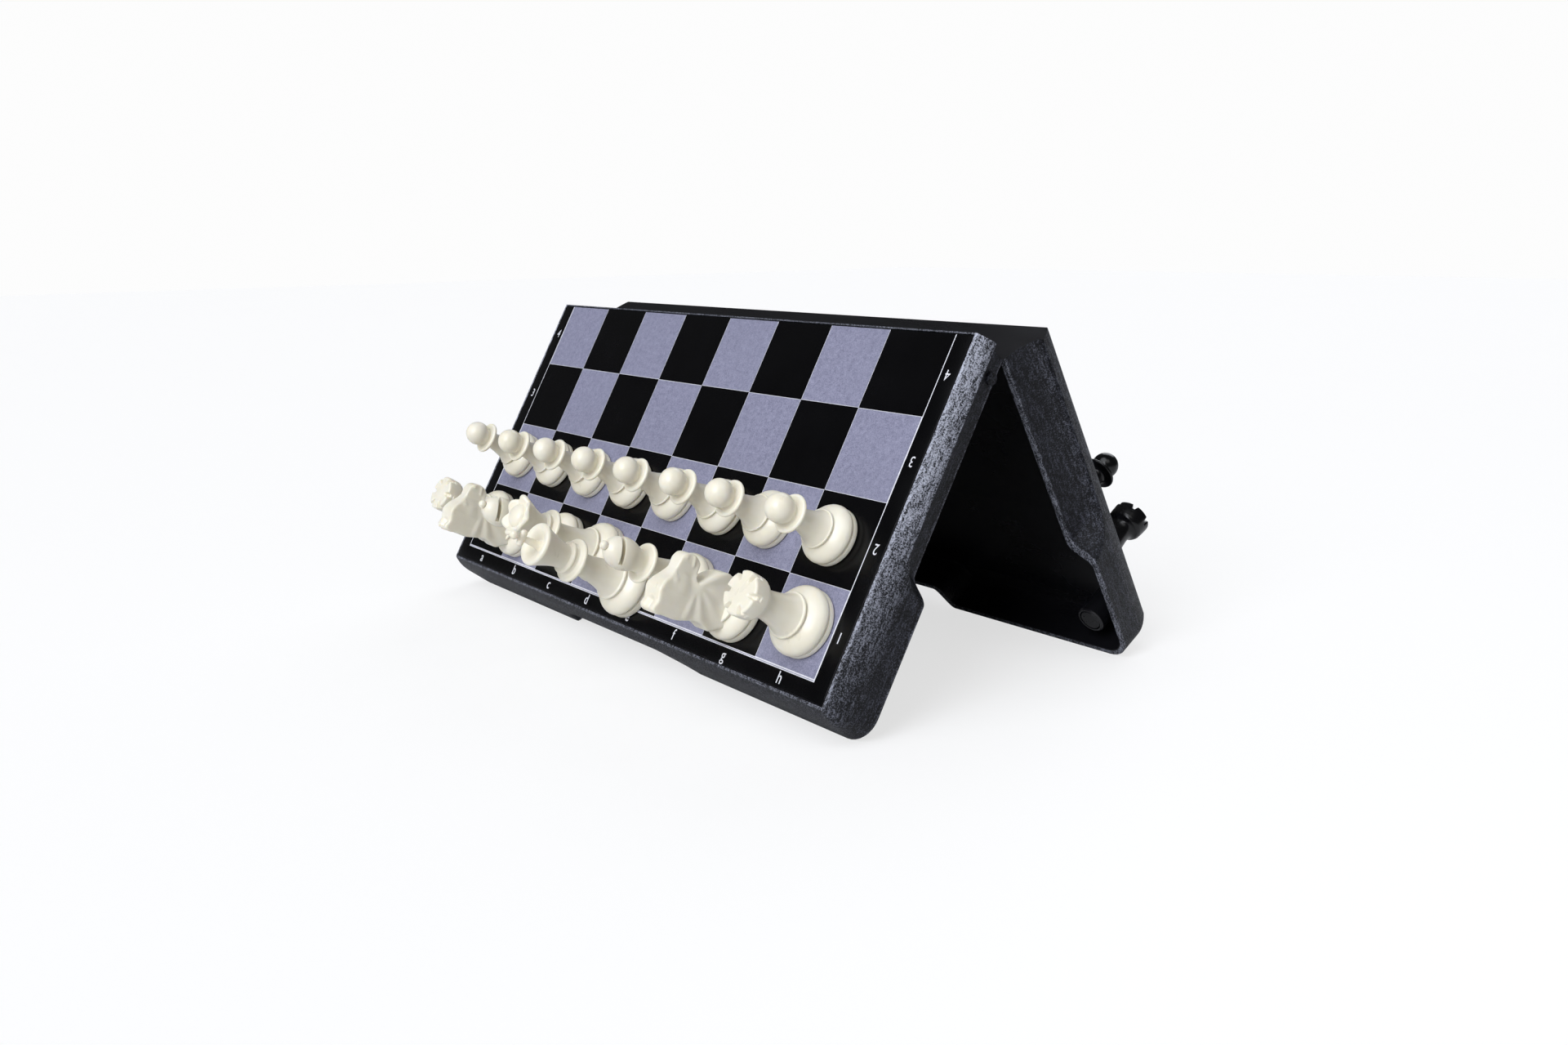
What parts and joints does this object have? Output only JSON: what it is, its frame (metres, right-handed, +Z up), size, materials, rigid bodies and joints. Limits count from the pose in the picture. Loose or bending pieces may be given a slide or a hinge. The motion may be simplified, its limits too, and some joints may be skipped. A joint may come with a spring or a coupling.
{
  "type": "folding magnetic travel chess set",
  "caption": "Folding two-tray travel chess case standing as a tent, printed playing panels outside and magnetic chessmen set up on both slopes.",
  "frame": {"origin": "middle of the footprint on the table, under the hinge line", "axes": "+X along the hinge from file a to file h, the white half slopes down towards -Y, +Z up"},
  "size_m": [0.26, 0.2396, 0.1213],
  "materials": {
    "case": "fine spark-eroded grain outside, smooth in the trays",
    "printed_panel": "black print with lilac-grey squares, satin gloss",
    "steel_plate": "bare sheet",
    "magnet": "bare sintered ferrite, dark grey",
    "hinge_pin": "drawn wire",
    "ivory_piece": "semi-gloss ivory",
    "black_piece": "gloss black"
  },
  "bodies": {
    "front_half": {"front_case": "case", "front_steel_plate": "steel_plate", "front_board_panel": "printed_panel", "front_catch_magnet_a": "magnet", "front_catch_magnet_h": "magnet", "hinge_pin_a": "hinge_pin", "hinge_pin_h": "hinge_pin"},
    "rear_half": {"rear_case": "case", "rear_steel_plate": "steel_plate", "rear_board_panel": "printed_panel", "rear_catch_magnet_a": "magnet", "rear_catch_magnet_h": "magnet"},
    "white_rook_a": {"white_rook_a": "ivory_piece"},
    "white_knight_b": {"white_knight_b": "ivory_piece"},
    "white_bishop_c": {"white_bishop_c": "ivory_piece"},
    "white_queen": {"white_queen": "ivory_piece"},
    "white_king": {"white_king": "ivory_piece"},
    "white_bishop_f": {"white_bishop_f": "ivory_piece"},
    "white_knight_g": {"white_knight_g": "ivory_piece"},
    "white_rook_h": {"white_rook_h": "ivory_piece"},
    "white_pawn_a": {"white_pawn_a": "ivory_piece"},
    "white_pawn_b": {"white_pawn_b": "ivory_piece"},
    "white_pawn_c": {"white_pawn_c": "ivory_piece"},
    "white_pawn_d": {"white_pawn_d": "ivory_piece"},
    "white_pawn_e": {"white_pawn_e": "ivory_piece"},
    "white_pawn_f": {"white_pawn_f": "ivory_piece"},
    "white_pawn_g": {"white_pawn_g": "ivory_piece"},
    "white_pawn_h": {"white_pawn_h": "ivory_piece"},
    "black_rook_a": {"black_rook_a": "black_piece"},
    "black_knight_b": {"black_knight_b": "black_piece"},
    "black_bishop_c": {"black_bishop_c": "black_piece"},
    "black_queen": {"black_queen": "black_piece"},
    "black_king": {"black_king": "black_piece"},
    "black_bishop_f": {"black_bishop_f": "black_piece"},
    "black_knight_g": {"black_knight_g": "black_piece"},
    "black_rook_h": {"black_rook_h": "black_piece"},
    "black_pawn_a": {"black_pawn_a": "black_piece"},
    "black_pawn_b": {"black_pawn_b": "black_piece"},
    "black_pawn_c": {"black_pawn_c": "black_piece"},
    "black_pawn_d": {"black_pawn_d": "black_piece"},
    "black_pawn_e": {"black_pawn_e": "black_piece"},
    "black_pawn_f": {"black_pawn_f": "black_piece"},
    "black_pawn_g": {"black_pawn_g": "black_piece"},
    "black_pawn_h": {"black_pawn_h": "black_piece"}
  },
  "joints": [
    {"name": "fold_hinge", "type": "hinge", "parent": "front_half", "child": "rear_half", "pos_m": [0, 0, 0.11197], "axis": [1, 0, 0], "range_deg": [-60, 120]},
    {"name": "lift_white_rook_a", "type": "slide", "parent": "front_half", "child": "white_rook_a", "axis": [0, -0.866, 0.5], "range_m": [0, 0.07]},
    {"name": "lift_white_knight_b", "type": "slide", "parent": "front_half", "child": "white_knight_b", "axis": [0, -0.866, 0.5], "range_m": [0, 0.07]},
    {"name": "lift_white_bishop_c", "type": "slide", "parent": "front_half", "child": "white_bishop_c", "axis": [0, -0.866, 0.5], "range_m": [0, 0.07]},
    {"name": "lift_white_queen", "type": "slide", "parent": "front_half", "child": "white_queen", "axis": [0, -0.866, 0.5], "range_m": [0, 0.07]},
    {"name": "lift_white_king", "type": "slide", "parent": "front_half", "child": "white_king", "axis": [0, -0.866, 0.5], "range_m": [0, 0.07]},
    {"name": "lift_white_bishop_f", "type": "slide", "parent": "front_half", "child": "white_bishop_f", "axis": [0, -0.866, 0.5], "range_m": [0, 0.07]},
    {"name": "lift_white_knight_g", "type": "slide", "parent": "front_half", "child": "white_knight_g", "axis": [0, -0.866, 0.5], "range_m": [0, 0.07]},
    {"name": "lift_white_rook_h", "type": "slide", "parent": "front_half", "child": "white_rook_h", "axis": [0, -0.866, 0.5], "range_m": [0, 0.07]},
    {"name": "lift_white_pawn_a", "type": "slide", "parent": "front_half", "child": "white_pawn_a", "axis": [0, -0.866, 0.5], "range_m": [0, 0.07]},
    {"name": "lift_white_pawn_b", "type": "slide", "parent": "front_half", "child": "white_pawn_b", "axis": [0, -0.866, 0.5], "range_m": [0, 0.07]},
    {"name": "lift_white_pawn_c", "type": "slide", "parent": "front_half", "child": "white_pawn_c", "axis": [0, -0.866, 0.5], "range_m": [0, 0.07]},
    {"name": "lift_white_pawn_d", "type": "slide", "parent": "front_half", "child": "white_pawn_d", "axis": [0, -0.866, 0.5], "range_m": [0, 0.07]},
    {"name": "lift_white_pawn_e", "type": "slide", "parent": "front_half", "child": "white_pawn_e", "axis": [0, -0.866, 0.5], "range_m": [0, 0.07]},
    {"name": "lift_white_pawn_f", "type": "slide", "parent": "front_half", "child": "white_pawn_f", "axis": [0, -0.866, 0.5], "range_m": [0, 0.07]},
    {"name": "lift_white_pawn_g", "type": "slide", "parent": "front_half", "child": "white_pawn_g", "axis": [0, -0.866, 0.5], "range_m": [0, 0.07]},
    {"name": "lift_white_pawn_h", "type": "slide", "parent": "front_half", "child": "white_pawn_h", "axis": [0, -0.866, 0.5], "range_m": [0, 0.07]},
    {"name": "lift_black_rook_a", "type": "slide", "parent": "rear_half", "child": "black_rook_a", "axis": [0, 0.866, 0.5], "range_m": [0, 0.07]},
    {"name": "lift_black_knight_b", "type": "slide", "parent": "rear_half", "child": "black_knight_b", "axis": [0, 0.866, 0.5], "range_m": [0, 0.07]},
    {"name": "lift_black_bishop_c", "type": "slide", "parent": "rear_half", "child": "black_bishop_c", "axis": [0, 0.866, 0.5], "range_m": [0, 0.07]},
    {"name": "lift_black_queen", "type": "slide", "parent": "rear_half", "child": "black_queen", "axis": [0, 0.866, 0.5], "range_m": [0, 0.07]},
    {"name": "lift_black_king", "type": "slide", "parent": "rear_half", "child": "black_king", "axis": [0, 0.866, 0.5], "range_m": [0, 0.07]},
    {"name": "lift_black_bishop_f", "type": "slide", "parent": "rear_half", "child": "black_bishop_f", "axis": [0, 0.866, 0.5], "range_m": [0, 0.07]},
    {"name": "lift_black_knight_g", "type": "slide", "parent": "rear_half", "child": "black_knight_g", "axis": [0, 0.866, 0.5], "range_m": [0, 0.07]},
    {"name": "lift_black_rook_h", "type": "slide", "parent": "rear_half", "child": "black_rook_h", "axis": [0, 0.866, 0.5], "range_m": [0, 0.07]},
    {"name": "lift_black_pawn_a", "type": "slide", "parent": "rear_half", "child": "black_pawn_a", "axis": [0, 0.866, 0.5], "range_m": [0, 0.07]},
    {"name": "lift_black_pawn_b", "type": "slide", "parent": "rear_half", "child": "black_pawn_b", "axis": [0, 0.866, 0.5], "range_m": [0, 0.07]},
    {"name": "lift_black_pawn_c", "type": "slide", "parent": "rear_half", "child": "black_pawn_c", "axis": [0, 0.866, 0.5], "range_m": [0, 0.07]},
    {"name": "lift_black_pawn_d", "type": "slide", "parent": "rear_half", "child": "black_pawn_d", "axis": [0, 0.866, 0.5], "range_m": [0, 0.07]},
    {"name": "lift_black_pawn_e", "type": "slide", "parent": "rear_half", "child": "black_pawn_e", "axis": [0, 0.866, 0.5], "range_m": [0, 0.07]},
    {"name": "lift_black_pawn_f", "type": "slide", "parent": "rear_half", "child": "black_pawn_f", "axis": [0, 0.866, 0.5], "range_m": [0, 0.07]},
    {"name": "lift_black_pawn_g", "type": "slide", "parent": "rear_half", "child": "black_pawn_g", "axis": [0, 0.866, 0.5], "range_m": [0, 0.07]},
    {"name": "lift_black_pawn_h", "type": "slide", "parent": "rear_half", "child": "black_pawn_h", "axis": [0, 0.866, 0.5], "range_m": [0, 0.07]}
  ]
}
